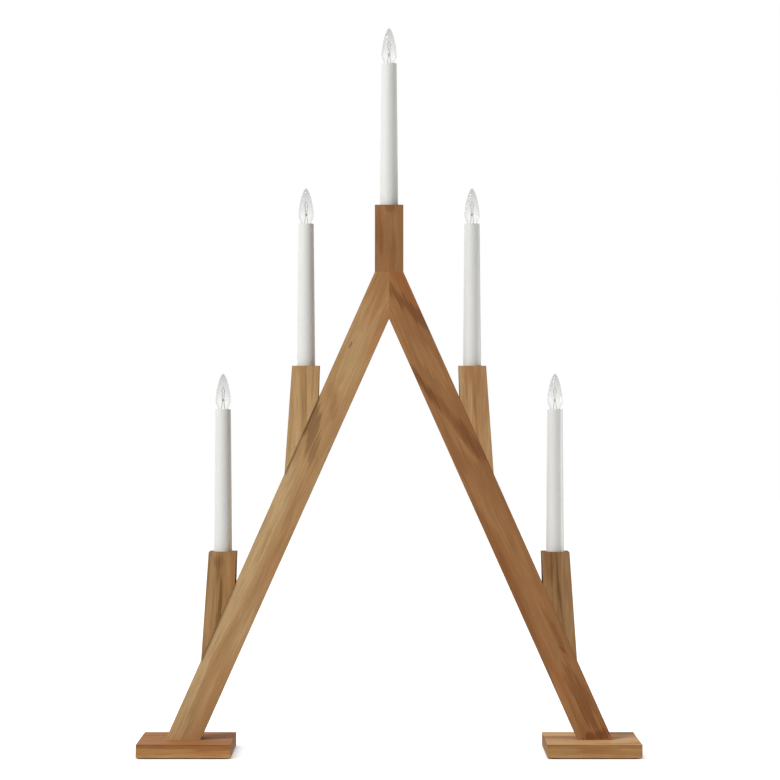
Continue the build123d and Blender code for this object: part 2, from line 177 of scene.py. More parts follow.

# Wooden pieces. Each is a stick sawn from its own board: where it lies in the arch, its stain
# tones, where the pith of its board was, and the paler, redder and darker figure along it. The pale
# patch over the right foot's top is painted light, and the dark band at the right leg's foot only darkens it
# there.
# A patch of figure is along, across, half length, half width, slant, strength: in millimetres and
# degrees on the stick, across to the outer side of the left leg and the inner side of the right one.
# On a foot, edge is how far its front and its top lie from its middle.
sticks = {
    "left_leg": {
        "origin": (-180.6, 0, 12.5), "turn": -65.9,
        "pale": "#C4A275", "mid": "#B58B5D", "deep": "#8B6843", "red": "#A9713F",
        "pith": (38, 6), "tilt": (0.8, -0.6), "ringWidth": 11, "seed": 1.3, "patchDepth": 22,
        "dark": [(300, 9, 46, 8, -19, 0.85), (330, 6, 26, 8, -30, 0.4), (226, -5, 34, 5, 2, 0.3),
                 (150, -6, 30, 5, 0, 0.3), (440, 6, 30, 7, 0, 0.3), (410, -9, 26, 5, 6, 0.2),
                 (376, 7, 4, 1.8, 0, 0.7)],
        "light": [(30, 11, 120, 11, 0, 0.95), (150, 11, 110, 11.4, -1, 0.95), (228, 11, 66, 11, -4, 0.95),
                  (362, 2, 40, 13, -8, 0.5), (112, -10, 30, 4, 3, 0.4)],
        "warm": [(440, 0, 46, 18, 0, 0.55), (404, -12, 40, 6, 4, 0.5), (190, -9, 90, 7, 0, 0.3),
                 (40, -9, 60, 6, 0, 0.35)],
    },
    "right_leg": {
        "origin": (180.6, 0, 12.5), "turn": -114.1,
        "pale": "#B08154", "mid": "#9F6F44", "deep": "#754723", "red": "#9C5F30",
        "pith": (44, -10), "tilt": (-0.7, 0.9), "ringWidth": 13, "seed": 4.1, "patchDepth": 22,
        "dark": [(416, -4.5, 36, 6, -20, 0.75), (440, 8, 24, 6, -20, 0.45), (344, 11, 44, 6.5, -14, 0.85),
                 (282, -8, 40, 7, -16, 0.7), (316, 2, 60, 5, -13, 0.35),
                 (140, 12, 60, 4, 0, 0.35), (40, -3, 50, 8, -4, 0.6), (96, -7, 40, 4, -6, 0.4),
                 # the last dark patch darkens the leg across its whole width just above the foot
                 (84, -6, 7, 1.2, -20, 0.8), (2, 0, 8, 20, 0, 0.8)],
        "light": [(26, 12, 60, 5, 4, 0.7), (362, -3, 34, 9, -14, 0.5), (300, 4, 50, 7, -12, 0.4),
                  (226, 4, 50, 9, -4, 0.45), (170, -8, 34, 5, 3, 0.3)],
        "warm": [(436, -10, 36, 6, -10, 0.75), (180, 9, 60, 5, 0, 0.4), (66, 6, 40, 5, 0, 0.4)],
    },
    "top_post": {
        "origin": (0, 0, 422.5), "turn": -90,
        "pale": "#AA7D54", "mid": "#92663F", "deep": "#774C23", "red": "#A2622F",
        "pith": (52, 4), "tilt": (0.5, 1.2), "ringWidth": 8, "seed": 7.7, "patchDepth": 22,
        "dark": [(57, 0, 7, 6, 0, 0.55), (28, 8, 26, 4, 0, 0.45), (16, -3, 30, 3, 2, 0.3)],
        "light": [(52, 5, 14, 3, 0, 0.4), (38, -5, 20, 3, 0, 0.35)],
        "warm": [(36, 6, 32, 3, 1, 0.5), (8, 2, 16, 3, 0, 0.35)],
    },
    "left_upper_post": {
        "origin": (-73, 0, 287), "turn": -90,
        "pale": "#CCA878", "mid": "#B58F61", "deep": "#987043", "red": "#B0814C",
        "pith": (46, 10), "tilt": (-0.8, 2.2), "ringWidth": 7, "seed": 11.2, "patchDepth": 22,
        "dark": [(34, 0, 40, 1.6, 2, 0.5), (45, -7, 24, 1.6, 3, 0.5), (10, 3, 40, 1.5, 2, 0.4),
                 (52, 5, 10, 2, 0, 0.4)],
        "light": [(0, 9, 60, 4, 4, 0.45), (14, -3, 40, 3, 3, 0.4)],
        "warm": [(52, 0, 6, 10, 0, 0.4)],
    },
    "left_lower_post": {
        "origin": (-146, 0, 124), "turn": -90,
        "pale": "#B49166", "mid": "#9F774A", "deep": "#6F461C", "red": "#A87440",
        "pith": (36, 3), "tilt": (1.0, 1.8), "ringWidth": 8, "seed": 15.9, "patchDepth": 22,
        "dark": [(44, 3, 10, 7, 0, 0.6), (14, 1.5, 34, 2.6, 3, 0.8), (-14, 5, 26, 3.4, 8, 0.55),
                 (36, 4, 14, 3.4, 0, 0.4)],
        "light": [(20, 10, 70, 3.4, 4, 0.55), (38, -6, 30, 4, 0, 0.35)],
        "warm": [(34, -8, 26, 5, 0, 0.6)],
    },
    "right_upper_post": {
        "origin": (73, 0, 287), "turn": -90,
        "pale": "#C8A376", "mid": "#B2885C", "deep": "#90643B", "red": "#AC7747",
        "pith": (42, -8), "tilt": (0.6, -2.0), "ringWidth": 7, "seed": 19.4, "patchDepth": 22,
        "dark": [(14, -3, 44, 1.6, -3, 0.55), (40, 5, 30, 1.5, -1, 0.4), (-16, -6, 40, 2.6, -6, 0.45),
                 (40, -5, 16, 3, 0, 0.3)],
        "light": [(26, 2, 40, 3, -2, 0.4), (44, 9, 26, 3, 0, 0.3)],
        "warm": [(46, 0, 14, 11, 0, 0.5), (-10, -6, 30, 4, -4, 0.4)],
    },
    "right_lower_post": {
        "origin": (146, 0, 124), "turn": -90,
        "pale": "#AC8861", "mid": "#966F46", "deep": "#6B4724", "red": "#96663A",
        "pith": (34, -4), "tilt": (-0.9, -1.6), "ringWidth": 7, "seed": 23.8, "patchDepth": 22,
        "dark": [(26, -2.6, 50, 1.9, -4, 0.75), (40, 3.4, 30, 1.7, -2, 0.6), (4, 3, 26, 1.6, -4, 0.5),
                 (-14, -6, 30, 3, -5, 0.5)],
        "light": [(44, -8, 20, 3, -3, 0.5), (16, 0.6, 30, 1.8, -3, 0.4), (0, -9, 50, 3, -4, 0.35)],
        "warm": [(40, 9, 20, 3, 0, 0.4)],
    },
    "left_foot": {
        "origin": (-177.9, 0, 6.75), "turn": 0,
        "pale": "#C0945C", "mid": "#AE7A48", "deep": "#8B5629", "red": "#AC693A",
        "pith": (-20, -60), "tilt": (1.2, 0.5), "ringWidth": 9, "seed": 27.1, "patchDepth": 400,
        "dark": [(-4, 3.9, 90, 2.0, 0, 0.6), (30, 2, 30, 2.4, 0, 0.4), (20, 6, 50, 1.4, 0, 0.2)],
        "light": [(0, -6.2, 80, 4.4, 0, 0.85)],
        "warm": [(14, 6, 70, 2.2, 0, 0.4), (24, -1, 20, 4, 0, 0.4)],
        "edge": (50, 5.75),
    },
    "right_foot": {
        "origin": (177.9, 0, 6.75), "turn": 0,
        "pale": "#CA9F6C", "mid": "#AB7B48", "deep": "#8C5C2F", "red": "#AC6C40",
        "pith": (24, -64), "tilt": (-1.0, 0.4), "ringWidth": 9, "seed": 31.6, "patchDepth": 400,
        "dark": [(0, 3.9, 90, 1.8, 0, 0.35), (6, 1, 24, 3, 0, 0.3)],
        # the last pale patch covers the foot's top face: painted light from above
        "light": [(-14, -6, 60, 4.2, 0, 0.4), (30, -6.5, 40, 3, 0, 0.3), (0, 6.4, 90, 1.2, 0, 1.0)],
        "warm": [(2, 1, 16, 4, 0, 0.45)],
        "edge": (50, 5.75),
    },
}
pine = {
    "fibreWidth": 0.9,  # real fibres are finer: drawn this coarse so that they show
    "fibreLength": 40,
    "bandWidth": 9,
    "bandLength": 170,
    "waveWidth": 17,
    "waveLength": 80,
    "wave": 4.5,
    "poreWidth": 0.7,
    "poreLength": 7,
    "cloudWidth": 6,
    "cloudLength": 34,
    "frayWidth": 2.4,
    "frayLength": 46,
    "fray": 0.32,  # how far streaks reach out of a patch, in shares of its size
    "patchFull": 0.7,  # a patch is full up to this share of its size
    "patchGone": 1.08,
    "lateShare": 0.3,
    "bandShare": 0.35,
    "endStain": 0.55,
    "edgeStain": 0.2,
    "poreStain": 0.22,
    "lineStain": 0.6,
    "endTone": "#6B4726",
    "edgeTone": "#5F4026",
    "poreTone": "#5A3A1E",
    "lineTone": "#6A3F1C",
    "roughOpen": 0.74,
    "roughFilled": 0.6,
    "relief": 0.12,
}


# Stained pine, planed and wiped with a brown satin stain: soft bands along the stick where the early
# and late wood took the stain, fine fibres, short dark pores, and dark ends and edges that drank more.
def stainedPine(piece, stick):
    made, tree, shader = newMaterial("stained pine, " + piece.replace("_", " "), {"Specular IOR Level": 0.2})
    turn = math.radians(stick["turn"])
    place = addNode(tree, "ShaderNodeTexCoord")
    grain = addNode(tree, "ShaderNodeMapping", {
        "Vector": place.outputs["Object"], "Location": [v * mm for v in stick["origin"]],
        "Rotation": (0, turn, 0), "Scale": (mm, mm, mm)}, vector_type="TEXTURE").outputs[0]
    moved = addNode(tree, "ShaderNodeVectorMath", {
        0: grain, 1: (stick["seed"] * 97, 0, stick["seed"] * 41)}, operation="ADD").outputs[0]

    # slow waves bend the year rings and the figure
    slow = addNode(tree, "ShaderNodeVectorMath", {
        0: moved, 1: (1 / pine["waveLength"], 1 / pine["waveWidth"], 1 / pine["waveWidth"])},
        operation="MULTIPLY")
    waves = addNode(tree, "ShaderNodeTexNoise", {"Vector": slow.outputs[0], "Scale": 1.0, "Detail": 2.0})
    centred = addNode(tree, "ShaderNodeVectorMath", {0: waves.outputs["Color"], 1: (0.5, 0.5, 0.5)},
                      operation="SUBTRACT")
    bent = addNode(tree, "ShaderNodeVectorMath", {
        0: centred.outputs[0], 1: (0, pine["wave"], pine["wave"]), 2: grain},
        operation="MULTIPLY_ADD").outputs[0]

    # year rings round the board's pith
    board = addNode(tree, "ShaderNodeMapping", {
        "Vector": bent, "Location": (0, *stick["pith"]),
        "Rotation": (0, *[math.radians(a) for a in stick["tilt"]])}, vector_type="TEXTURE")
    across = addNode(tree, "ShaderNodeVectorMath", {
        0: board.outputs[0], 1: (0, 1, 1)}, operation="MULTIPLY")
    radius = addNode(tree, "ShaderNodeVectorMath", {0: across.outputs[0]}, operation="LENGTH")
    years = addNode(tree, "ShaderNodeMath", {
        0: radius.outputs["Value"], 1: stick["ringWidth"]}, operation="DIVIDE")
    season = addNode(tree, "ShaderNodeMath", {0: years.outputs[0]}, operation="FRACT")
    rise = addNode(tree, "ShaderNodeMapRange", {0: season.outputs[0], 1: 0.15, 2: 0.9},
                   interpolation_type="SMOOTHSTEP")
    fall = addNode(tree, "ShaderNodeMapRange", {0: season.outputs[0], 1: 0.9, 2: 1.0, 3: 1.0, 4: 0.0},
                   interpolation_type="SMOOTHSTEP")
    late = addNode(tree, "ShaderNodeMath", {
        0: rise.outputs[0], 1: fall.outputs[0]}, operation="MULTIPLY").outputs[0]

    # bands, clouds of stain, fibres and pores, all drawn out along the stick
    sizes = {"band": moved, "cloud": moved, "fray": bent, "fibre": bent, "pore": bent}
    noises = {}
    for kind, spot in sizes.items():
        width, length = pine[kind + "Width"], pine[kind + "Length"]
        scaled = addNode(tree, "ShaderNodeVectorMath", {0: spot, 1: (1 / length, 1 / width, 1 / width)},
                         operation="MULTIPLY")
        noises[kind] = addNode(tree, "ShaderNodeTexNoise", {
            "Vector": scaled.outputs[0], "Scale": 1.0, "Detail": 3.0, "Roughness": 0.55}).outputs[0]
    fibres = noises["fibre"]
    band = addNode(tree, "ShaderNodeMapRange", {0: noises["band"], 1: 0.36, 2: 0.66},
                   interpolation_type="SMOOTHSTEP").outputs[0]
    pores = addNode(tree, "ShaderNodeMapRange", {0: noises["pore"], 1: 0.62, 2: 0.74}).outputs[0]

    # patches of heartwood and sapwood and a few other marks, their edges drawn out into streaks; the pale
    # patch on the right foot's top is painted light
    frayed = addNode(tree, "ShaderNodeMapRange", {
        0: noises["fray"], 1: 0.3, 2: 0.7, 3: -pine["fray"], 4: pine["fray"]}).outputs[0]
    amounts = {}
    for shade in ("light", "warm", "dark"):
        total = 0.0
        for along, over, length, width, slant, strength in stick[shade]:
            patch = addNode(tree, "ShaderNodeMapping", {
                "Vector": bent, "Location": (along, 0, over), "Rotation": (0, math.radians(slant), 0),
                "Scale": (length, stick["patchDepth"], width)}, vector_type="TEXTURE")
            away = addNode(tree, "ShaderNodeVectorMath", {0: patch.outputs[0]}, operation="LENGTH")
            edge = addNode(tree, "ShaderNodeMath", {0: away.outputs["Value"], 1: frayed}, operation="ADD")
            near = addNode(tree, "ShaderNodeMapRange", {
                0: edge.outputs[0], 1: pine["patchFull"], 2: pine["patchGone"], 3: strength, 4: 0.0},
                interpolation_type="SMOOTHSTEP")
            total = addNode(tree, "ShaderNodeMath", {
                0: total, 1: near.outputs[0]}, operation="MAXIMUM").outputs[0]
        amounts[shade] = total

    # colour, from the board's own tones
    lateShare = addNode(tree, "ShaderNodeMath", {0: late, 1: pine["lateShare"]}, operation="MULTIPLY")
    bandShare = addNode(tree, "ShaderNodeMath", {0: band, 1: pine["bandShare"]}, operation="MULTIPLY")
    mixes = [
        (lateShare.outputs[0], stick["deep"]),
        (bandShare.outputs[0], stick["pale"]),
        (amounts["light"], stick["pale"]),
        (amounts["warm"], stick["red"]),
        (amounts["dark"], stick["deep"]),
    ]
    colour = toLinear(stick["mid"])
    for amount, tone in mixes:
        colour = addNode(tree, "ShaderNodeMix", {
            0: amount, 6: colour, 7: toLinear(tone)}, data_type="RGBA").outputs[2]
    weave = addNode(tree, "ShaderNodeMapRange", {0: fibres, 1: 0.28, 2: 0.72, 3: 0.88, 4: 1.1})
    cloudy = addNode(tree, "ShaderNodeMapRange", {0: noises["cloud"], 1: 0.3, 2: 0.7, 3: 0.92, 4: 1.07})
    uneven = addNode(tree, "ShaderNodeMath", {
        0: weave.outputs[0], 1: cloudy.outputs[0]}, operation="MULTIPLY")
    colour = addNode(tree, "ShaderNodeVectorMath", {
        0: colour, 1: uneven.outputs[0]}, operation="MULTIPLY").outputs[0]

    # ends, eased edges and pores hold more stain, and on a foot it gathered along the top edges
    local = addNode(tree, "ShaderNodeVectorRotate", {"Vector": place.outputs["Normal"], "Angle": -turn},
                    rotation_type="Y_AXIS")
    sides = addNode(tree, "ShaderNodeVectorMath", {0: local.outputs[0]}, operation="ABSOLUTE")
    side = addNode(tree, "ShaderNodeSeparateXYZ", {0: sides.outputs[0]}).outputs
    wider = addNode(tree, "ShaderNodeMath", {0: side["X"], 1: side["Y"]}, operation="MAXIMUM")
    flat = addNode(tree, "ShaderNodeMath", {0: wider.outputs[0], 1: side["Z"]}, operation="MAXIMUM")
    endGrain = addNode(tree, "ShaderNodeMapRange", {
        0: side["X"], 1: 0.6, 2: 0.95, 3: 0.0, 4: pine["endStain"]})
    arris = addNode(tree, "ShaderNodeMapRange", {
        0: flat.outputs[0], 1: 0.96, 2: 0.994, 3: pine["edgeStain"], 4: 0.0})
    dotted = addNode(tree, "ShaderNodeMath", {0: pores, 1: pine["poreStain"]}, operation="MULTIPLY")
    stains = [(endGrain, pine["endTone"]), (arris, pine["edgeTone"]), (dotted, pine["poreTone"])]
    if "edge" in stick:
        front, top = stick["edge"]
        spot = addNode(tree, "ShaderNodeSeparateXYZ", {0: grain}).outputs
        depth = addNode(tree, "ShaderNodeMath", {0: spot["Y"]}, operation="ABSOLUTE")
        fromFront = addNode(tree, "ShaderNodeMath", {0: front, 1: depth.outputs[0]}, operation="SUBTRACT")
        fromTop = addNode(tree, "ShaderNodeMath", {0: top, 1: spot["Z"]}, operation="SUBTRACT")
        inwards = addNode(tree, "ShaderNodeMath", {
            0: fromFront.outputs[0], 1: fromTop.outputs[0]}, operation="MAXIMUM")
        gathered = addNode(tree, "ShaderNodeMapRange", {
            0: inwards.outputs[0], 1: 0.3, 2: 1.3, 3: pine["lineStain"], 4: 0.0})
        stains.append((gathered, pine["lineTone"]))
    for amount, tone in stains:
        colour = addNode(tree, "ShaderNodeMix", {0: amount.outputs[0], 6: colour, 7: toLinear(tone)},
                         data_type="RGBA").outputs[2]
    tree.links.new(colour, shader.inputs["Base Color"])

    # satin stain over open fibres
    gloss = addNode(tree, "ShaderNodeMapRange", {
        0: fibres, 1: 0.2, 2: 0.8, 3: pine["roughOpen"], 4: pine["roughFilled"]})
    tree.links.new(gloss.outputs[0], shader.inputs["Roughness"])
    height = addNode(tree, "ShaderNodeMath", {0: pores, 1: -0.6, 2: fibres}, operation="MULTIPLY_ADD")
    relief = addNode(tree, "ShaderNodeBump", {"Height": height.outputs[0], "Strength": 0.35,
                                              "Distance": pine["relief"] * mm})
    tree.links.new(relief.outputs[0], shader.inputs["Normal"])
    return made


for piece, stick in sticks.items():
    nodes[piece].data.materials[0] = stainedPine(piece, stick)
print("wooden pieces stained,", len(sticks))


# Turned and drawn pieces grow from a curve through one of two node trees.


def newTree(name, base, inputs):
    tree = bpy.data.node_groups.new(name, "GeometryNodeTree")
    tree.interface.new_socket(base, in_out="INPUT", socket_type="NodeSocketGeometry")
    for socket, kind in inputs.items():
        tree.interface.new_socket(socket, in_out="INPUT", socket_type="NodeSocket" + kind)
    tree.interface.new_socket("Geometry", in_out="OUTPUT", socket_type="NodeSocketGeometry")
    return tree, addNode(tree, "NodeGroupInput").outputs


# sets the finish and closes a tree
def closeTree(tree, shape, finish):
    smooth = addNode(tree, "GeometryNodeSetShadeSmooth", {"Geometry": shape})
    real = addNode(tree, "GeometryNodeRealizeInstances", {"Geometry": smooth.outputs[0]})
    finished = addNode(tree, "GeometryNodeSetMaterial", {"Geometry": real.outputs[0], "Material": finish})
    addNode(tree, "NodeGroupOutput", {"Geometry": finished.outputs[0]})
    return tree


# A profile in X and Z, drawn upwards, turned round Z; a rolled thread is pressed in between two heights
def turnedTree():
    tree, given = newTree("turned piece", "Profile", {
        "Steps Around": "Int", "Thread Pitch": "Float", "Thread Depth": "Float",
        "Thread Foot": "Float", "Thread Head": "Float", "Finish": "Material"})
    points = addNode(tree, "GeometryNodeCurveToPoints", {
        "Curve": given["Profile"]}, mode="EVALUATED").outputs[0]
    count = addNode(tree, "GeometryNodeAttributeDomainSize", {"Geometry": points},
                    component="POINTCLOUD").outputs["Point Count"]
    columns = addNode(tree, "ShaderNodeMath", {0: given["Steps Around"], 1: 1.0}, operation="ADD")
    grid = addNode(tree, "GeometryNodeMeshGrid", {"Vertices X": columns.outputs[0], "Vertices Y": count})
    index = addNode(tree, "GeometryNodeInputIndex").outputs[0]
    row = addNode(tree, "ShaderNodeMath", {0: index, 1: count}, operation="MODULO")
    share = addNode(tree, "ShaderNodeMath", {0: index, 1: count}, operation="DIVIDE")
    column = addNode(tree, "ShaderNodeMath", {0: share.outputs[0]}, operation="FLOOR")
    place = addNode(tree, "GeometryNodeInputPosition").outputs[0]
    spot = addNode(tree, "GeometryNodeSampleIndex", {
        "Geometry": points, "Value": place, "Index": row.outputs[0]}, data_type="FLOAT_VECTOR")
    parts = addNode(tree, "ShaderNodeSeparateXYZ", {0: spot.outputs[0]}).outputs
    step = addNode(tree, "ShaderNodeMath", {0: math.tau, 1: given["Steps Around"]}, operation="DIVIDE")
    angle = addNode(tree, "ShaderNodeMath", {
        0: column.outputs[0], 1: step.outputs[0]}, operation="MULTIPLY").outputs[0]
    turns = addNode(tree, "ShaderNodeMath", {0: parts["Z"], 1: given["Thread Pitch"]}, operation="DIVIDE")
    climb = addNode(tree, "ShaderNodeMath", {0: turns.outputs[0], 1: math.tau}, operation="MULTIPLY")
    phase = addNode(tree, "ShaderNodeMath", {0: climb.outputs[0], 1: angle}, operation="SUBTRACT")
    ridge = addNode(tree, "ShaderNodeMath", {0: phase.outputs[0]}, operation="COSINE")
    valley = addNode(tree, "ShaderNodeMapRange", {0: ridge.outputs[0], 1: -1.0, 2: 1.0, 3: 1.0, 4: 0.0})
    runOut = 0.8 * mm  # the height over which the thread fades at either end
    footEnd = addNode(tree, "ShaderNodeMath", {0: given["Thread Foot"], 1: runOut}, operation="ADD")
    starts = addNode(tree, "ShaderNodeMapRange", {
        0: parts["Z"], 1: given["Thread Foot"], 2: footEnd.outputs[0]})
    headStart = addNode(tree, "ShaderNodeMath", {
        0: given["Thread Head"], 1: runOut}, operation="SUBTRACT")
    stops = addNode(tree, "ShaderNodeMapRange", {
        0: parts["Z"], 1: headStart.outputs[0], 2: given["Thread Head"], 3: 1.0, 4: 0.0})
    inside = addNode(tree, "ShaderNodeMath", {
        0: starts.outputs[0], 1: stops.outputs[0]}, operation="MULTIPLY")
    pressed = addNode(tree, "ShaderNodeMath", {
        0: valley.outputs[0], 1: inside.outputs[0]}, operation="MULTIPLY")
    sunk = addNode(tree, "ShaderNodeMath", {
        0: pressed.outputs[0], 1: given["Thread Depth"]}, operation="MULTIPLY")
    radius = addNode(tree, "ShaderNodeMath", {
        0: parts["X"], 1: sunk.outputs[0]}, operation="SUBTRACT").outputs[0]
    cosine = addNode(tree, "ShaderNodeMath", {0: angle}, operation="COSINE")
    sine = addNode(tree, "ShaderNodeMath", {0: angle}, operation="SINE")
    x = addNode(tree, "ShaderNodeMath", {0: radius, 1: cosine.outputs[0]}, operation="MULTIPLY")
    y = addNode(tree, "ShaderNodeMath", {0: radius, 1: sine.outputs[0]}, operation="MULTIPLY")
    turned = addNode(tree, "ShaderNodeCombineXYZ", {0: x.outputs[0], 1: y.outputs[0], 2: parts["Z"]})
    marked = addNode(tree, "GeometryNodeStoreNamedAttribute", {
        "Geometry": grid.outputs["Mesh"], "Name": "UVMap", "Value": grid.outputs["UV Map"]},
        data_type="FLOAT2", domain="CORNER")
    moved = addNode(tree, "GeometryNodeSetPosition", {
        "Geometry": marked.outputs[0], "Position": turned.outputs[0]})
    closed = addNode(tree, "GeometryNodeMergeByDistance", {
        "Geometry": moved.outputs[0], "Distance": 0.002 * mm})
    return closeTree(tree, closed.outputs[0], given["Finish"])


# A round wire along a path: straight, wound into a coil, or wandering a little
def drawnTree():
    tree, given = newTree("drawn wire", "Path", {
        "Steps": "Int", "Sides": "Int", "Radius": "Float", "Coil Radius": "Float", "Coil Turns": "Float",
        "Wander": "Float", "Seed": "Float", "Finish": "Material"})
    path = addNode(tree, "GeometryNodeResampleCurve", {"Curve": given["Path"], "Count": given["Steps"]})
    along = addNode(tree, "GeometryNodeSplineParameter").outputs["Factor"]
    turns = addNode(tree, "ShaderNodeMath", {0: along, 1: given["Coil Turns"]}, operation="MULTIPLY")
    angle = addNode(tree, "ShaderNodeMath", {
        0: turns.outputs[0], 1: math.tau}, operation="MULTIPLY").outputs[0]
    normal = addNode(tree, "GeometryNodeInputNormal").outputs[0]
    tangent = addNode(tree, "GeometryNodeInputTangent").outputs[0]
    side = addNode(tree, "ShaderNodeVectorMath", {
        0: tangent, 1: normal}, operation="CROSS_PRODUCT").outputs[0]
    cosine = addNode(tree, "ShaderNodeMath", {0: angle}, operation="COSINE")
    sine = addNode(tree, "ShaderNodeMath", {0: angle}, operation="SINE")
    out = addNode(tree, "ShaderNodeVectorMath", {
        0: normal, "Scale": cosine.outputs[0]}, operation="SCALE")
    over = addNode(tree, "ShaderNodeVectorMath", {0: side, "Scale": sine.outputs[0]}, operation="SCALE")
    spoke = addNode(tree, "ShaderNodeVectorMath", {
        0: out.outputs[0], 1: over.outputs[0]}, operation="ADD")
    coil = addNode(tree, "ShaderNodeVectorMath", {0: spoke.outputs[0], "Scale": given["Coil Radius"]},
                   operation="SCALE")
    drift = addNode(tree, "ShaderNodeTexNoise", {
        "W": given["Seed"], "Scale": 25.0}, noise_dimensions="4D")
    centred = addNode(tree, "ShaderNodeVectorMath", {0: drift.outputs["Color"], 1: (0.5, 0.5, 0.5)},
                      operation="SUBTRACT")
    loose = addNode(tree, "ShaderNodeVectorMath", {
        0: centred.outputs[0], "Scale": given["Wander"]}, operation="SCALE")
    shift = addNode(tree, "ShaderNodeVectorMath", {
        0: coil.outputs[0], 1: loose.outputs[0]}, operation="ADD")
    wound = addNode(tree, "GeometryNodeSetPosition", {
        "Geometry": path.outputs[0], "Offset": shift.outputs[0]})
    ring = addNode(tree, "GeometryNodeCurvePrimitiveCircle", {
        "Resolution": given["Sides"], "Radius": given["Radius"]})
    wire = addNode(tree, "GeometryNodeCurveToMesh", {
        "Curve": wound.outputs[0], "Profile Curve": ring.outputs["Curve"], "Fill Caps": True})
    return closeTree(tree, wire.outputs[0], given["Finish"])


turned = turnedTree()
drawn = drawnTree()


# grows a mesh from a curve through a tree, and gives it a wall where one is asked for
def growMesh(data, tree, values, wall=0):
    base = bpy.data.objects.new("growing", data)
    modifier = base.modifiers.new("grow", "NODES")
    modifier.node_group = tree
    for socket in tree.interface.items_tree:
        if socket.in_out == "INPUT" and socket.name in values:
            modifier[socket.identifier] = values[socket.name]
    if wall:
        shell = base.modifiers.new("wall", "SOLIDIFY")
        shell.thickness = wall
        shell.offset = -1
    scene.collection.objects.link(base)
    ready = base.evaluated_get(bpy.context.evaluated_depsgraph_get())
    mesh = bpy.data.meshes.new_from_object(ready)
    bpy.data.objects.remove(base)
    mesh.materials.clear()
    mesh.materials.append(values["Finish"])
    mesh.polygons.foreach_set("material_index", [0] * len(mesh.polygons))
    return mesh


# a profile or path from spots in millimetres; a spot may carry its two handles
def drawCurve(name, lines, kind, fineness=12):
    curve = bpy.data.curves.new(name, "CURVE")
    curve.dimensions = "3D"
    curve.resolution_u = fineness
    for spots in lines:
        spline = curve.splines.new(kind)
        if kind == "BEZIER":
            spline.bezier_points.add(len(spots) - 1)
            for knot, (spot, before, after) in zip(spline.bezier_points, spots):
                knot.co = Vector(spot) * mm
                knot.handle_left = Vector(before) * mm
                knot.handle_right = Vector(after) * mm
        else:
            spline.points.add(len(spots) - 1)
            for knot, spot in zip(spline.points, spots):
                knot.co = (*(Vector(spot) * mm), 1)
        if kind == "NURBS":
            spline.order_u = 3
            spline.use_endpoint_u = True
    return curve


def joinMeshes(name, meshes):
    joined = bmesh.new()
    made = bpy.data.meshes.new(name)
    for mesh in meshes:
        slots = []
        for finish in mesh.materials:
            if finish.name not in made.materials:
                made.materials.append(finish)
            slots.append(made.materials.find(finish.name))
        for face in mesh.polygons:
            face.material_index = slots[face.material_index]
        joined.from_mesh(mesh)
    joined.to_mesh(made)
    joined.free()
    return made


def addPiece(name, mesh, place, body, stoodFor):
    mesh.transform(Matrix.Translation(place))
    mesh.set_sharp_from_angle(angle=math.radians(40))
    piece = bpy.data.objects.new(name, mesh)
    scene.collection.objects.link(piece)
    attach(piece, body)
    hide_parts(stoodFor)
    return piece


# Polypropylene, injection moulded: white and a little milky, semi-gloss, with faint flow clouds
# and the very shallow orange peel of a polished tool.
def mouldedWhite(name, light, dark, gloss, peel):
    made, tree, shader = newMaterial(name, {"IOR": 1.49})
    place = objectPlace(tree)
    stretched = addNode(tree, "ShaderNodeMapping", {"Vector": place, "Scale": (1, 1, 0.25)})
    clouds = addNode(tree, "ShaderNodeTexNoise", {
        "Vector": stretched.outputs[0], "Scale": 1 / (14 * mm), "Detail": 3.0})
    colour = addNode(tree, "ShaderNodeMix", {0: clouds.outputs[0], 6: toLinear(light), 7: toLinear(dark)},
                     data_type="RGBA")
    tree.links.new(colour.outputs[2], shader.inputs["Base Color"])
    skin = addNode(tree, "ShaderNodeTexNoise", {"Vector": place, "Scale": 1 / (1.6 * mm), "Detail": 2.0})
    rough = addNode(tree, "ShaderNodeMapRange", {
        0: skin.outputs[0], 1: 0.3, 2: 0.7, 3: gloss - 0.05, 4: gloss + 0.05})
    tree.links.new(rough.outputs[0], shader.inputs["Roughness"])
    bump = addNode(tree, "ShaderNodeBump", {
        "Height": skin.outputs[0], "Strength": 0.3, "Distance": peel * mm})
    tree.links.new(bump.outputs[0], shader.inputs["Normal"])
    return made


tubeWhite = mouldedWhite("moulded polypropylene, white", "#E4E4E1", "#DDDDD9", 0.36, 0.03)
holderWhite = mouldedWhite("moulded nylon, matt white", "#E4E2DA", "#D8D6CC", 0.55, 0.08)
sheathWhite = mouldedWhite("extruded PVC sheath, white", "#E2E1DB", "#D9D7CF", 0.48, 0.05)


# Metal with rubbed or drawn marks: the colour drifts a little, and the marks break up the shine
def workedMetal(name, light, dark, gloss, mark, stretch):
    made, tree, shader = newMaterial(name, {"Metallic": 1.0})
    place = objectPlace(tree)
    drift = addNode(tree, "ShaderNodeTexNoise", {"Vector": place, "Scale": 1 / (5 * mm), "Detail": 4.0})
    colour = addNode(tree, "ShaderNodeMix", {0: drift.outputs[0], 6: toLinear(light), 7: toLinear(dark)},
                     data_type="RGBA")
    tree.links.new(colour.outputs[2], shader.inputs["Base Color"])
    scaled = addNode(tree, "ShaderNodeMapping", {"Vector": place, "Scale": stretch})
    marks = addNode(tree, "ShaderNodeTexNoise", {
        "Vector": scaled.outputs[0], "Scale": 1 / (mark * mm), "Detail": 3.0})
    rough = addNode(tree, "ShaderNodeMapRange", {
        0: marks.outputs[0], 1: 0.3, 2: 0.7, 3: gloss - 0.08, 4: gloss + 0.1})
    tree.links.new(rough.outputs[0], shader.inputs["Roughness"])
    bump = addNode(tree, "ShaderNodeBump", {
        "Height": marks.outputs[0], "Strength": 0.2, "Distance": 0.02 * mm})
    tree.links.new(bump.outputs[0], shader.inputs["Normal"])
    return made


